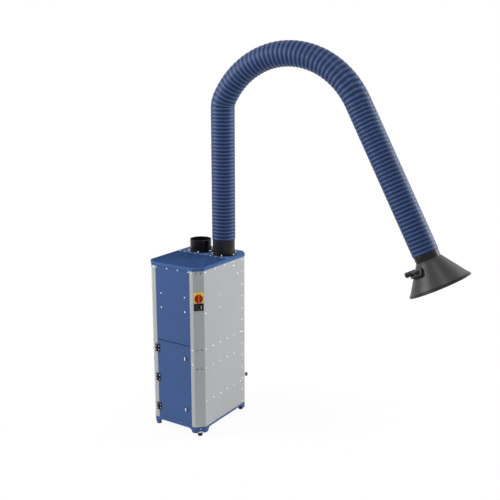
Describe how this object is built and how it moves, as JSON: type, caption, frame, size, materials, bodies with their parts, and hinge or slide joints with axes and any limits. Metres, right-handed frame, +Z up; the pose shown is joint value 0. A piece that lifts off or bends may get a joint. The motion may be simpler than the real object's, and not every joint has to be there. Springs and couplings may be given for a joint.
{
  "type": "fume extraction arm",
  "caption": "Filter cabinet on levelling feet with a hinged door and a lid with two duct spigots, one with a jointed ribbed suction arm that ends in a cone hood.",
  "frame": {"origin": "on the floor at the centre of the cabinet's footprint", "axes": "+Z up, along the open spigot; the cabinet's front faces -Y; the arm reaches to +X at rest"},
  "size_m": [2.1991, 0.694, 2.8045],
  "materials": {
    "blue_paint": "satin",
    "grey_paint": "satin",
    "black_plastic": "satin",
    "black_metal": "satin",
    "foot_rubber": "matte",
    "zinc": "satin",
    "plain_steel": "satin",
    "chrome_latch": "polished",
    "yellow_plate": "gloss",
    "red_knob": "gloss",
    "window": "gloss",
    "brass_fitting": "satin",
    "filter_paper": "matte",
    "aluminium_wheel": "satin",
    "hose_fabric": "satin",
    "hood_metal": "satin"
  },
  "bodies": {
    "cabinet": {"base_frame": "blue_paint", "levelling_feet": "foot_rubber", "foot_studs": "zinc", "floor_pan": "plain_steel", "side_panel_left": "grey_paint", "side_panel_right": "grey_paint", "rear_panel": "grey_paint", "front_panel": "blue_paint", "mid_rail": "grey_paint", "lid": "blue_paint", "lid_grille": "blue_paint", "inlet_spigot": "black_plastic", "outlet_spigot": "black_plastic", "seal_rings": "foot_rubber", "cabinet_screws": "zinc", "rivets": "zinc", "switch_plate": "yellow_plate", "switch_box": "black_plastic", "hour_meter": "black_plastic", "meter_window": "window", "control_box": "grey_paint", "air_fitting": "brass_fitting", "air_tank": "blue_paint", "blow_pipe": "zinc", "tube_sheet": "plain_steel", "filter_cartridge": "filter_paper", "filter_clamp": "zinc", "dust_bin": "grey_paint", "air_ducts": "zinc", "fan_housing": "plain_steel", "fan_motor": "grey_paint", "hinge_leaves_frame": "black_metal", "hinge_pins": "zinc", "cable_gland": "black_plastic"},
    "door": {"door": "blue_paint", "door_seal": "foot_rubber", "hinge_leaves_door": "black_metal", "hinge_screws_door": "zinc"},
    "latch_upper": {"latch_upper": "chrome_latch"},
    "latch_lower": {"latch_lower": "chrome_latch"},
    "switch_knob": {"switch_knob": "red_knob"},
    "air_knob": {"air_knob": "black_plastic"},
    "fan_wheel": {"fan_impeller": "aluminium_wheel"},
    "arm_base": {"swivel_cuff": "black_plastic", "riser_post": "plain_steel", "hose_riser": "hose_fabric", "shoulder_pin": "zinc"},
    "upper_arm": {"upper_stay": "plain_steel", "hose_shoulder": "hose_fabric", "hose_upper": "hose_fabric", "elbow_pin": "zinc"},
    "forearm": {"fore_stay": "plain_steel", "hose_elbow": "hose_fabric", "hose_fore": "hose_fabric", "wrist_pin": "zinc"},
    "hood_knuckle": {"hood_collar": "black_plastic", "hose_wrist": "hose_fabric"},
    "hood": {"hood": "hood_metal", "hood_rim": "foot_rubber", "hood_handle": "black_plastic"}
  },
  "joints": [
    {"name": "door_hinge", "type": "hinge", "parent": "cabinet", "child": "door", "pos_m": [-0.15, -0.3185, 0.391], "axis": [0, 0, -1], "range_deg": [0, 110]},
    {"name": "upper_latch_turn", "type": "hinge", "parent": "door", "child": "latch_upper", "pos_m": [0.105, -0.313, 0.59177], "axis": [0, 1, 0], "range_deg": [0, 90]},
    {"name": "lower_latch_turn", "type": "hinge", "parent": "door", "child": "latch_lower", "pos_m": [0.105, -0.313, 0.19973], "axis": [0, 1, 0], "range_deg": [0, 90]},
    {"name": "main_switch_turn", "type": "hinge", "parent": "cabinet", "child": "switch_knob", "pos_m": [0.2085, -0.2855, 1.05], "axis": [0.7071, -0.7071, 0], "range_deg": [0, 90]},
    {"name": "air_knob_turn", "type": "hinge", "parent": "cabinet", "child": "air_knob", "pos_m": [0.2085, 0.2855, 0.287], "axis": [0.7071, 0.7071, 0], "range_deg": [0, 270]},
    {"name": "fan_spin", "type": "hinge", "parent": "cabinet", "child": "fan_wheel", "pos_m": [-0.02, -0.0975, 0.8], "axis": [0, 0, 1], "continuous": true},
    {"name": "arm_swivel", "type": "hinge", "parent": "cabinet", "child": "arm_base", "pos_m": [0.118, 0.16, 1.336], "axis": [0, 0, 1], "range_deg": [-180, 180]},
    {"name": "shoulder_tilt", "type": "hinge", "parent": "arm_base", "child": "upper_arm", "pos_m": [0.118, 0.16, 2.373], "axis": [0, 1, 0], "range_deg": [-20, 15], "deforming": ["hose_shoulder"]},
    {"name": "elbow_fold", "type": "hinge", "parent": "upper_arm", "child": "forearm", "pos_m": [0.65272, 0.16, 2.71366], "axis": [0, 1, 0], "range_deg": [-40, 15], "deforming": ["hose_elbow"]},
    {"name": "hood_tilt", "type": "hinge", "parent": "forearm", "child": "hood_knuckle", "pos_m": [1.63259, 0.16, 1.55189], "axis": [0, 1, 0], "range_deg": [-35, 35], "deforming": ["hose_wrist"]},
    {"name": "hood_turn", "type": "hinge", "parent": "hood_knuckle", "child": "hood", "pos_m": [1.67112, 0.16, 1.48064], "axis": [0.4756, 0, -0.8796], "range_deg": [-180, 180]}
  ]
}
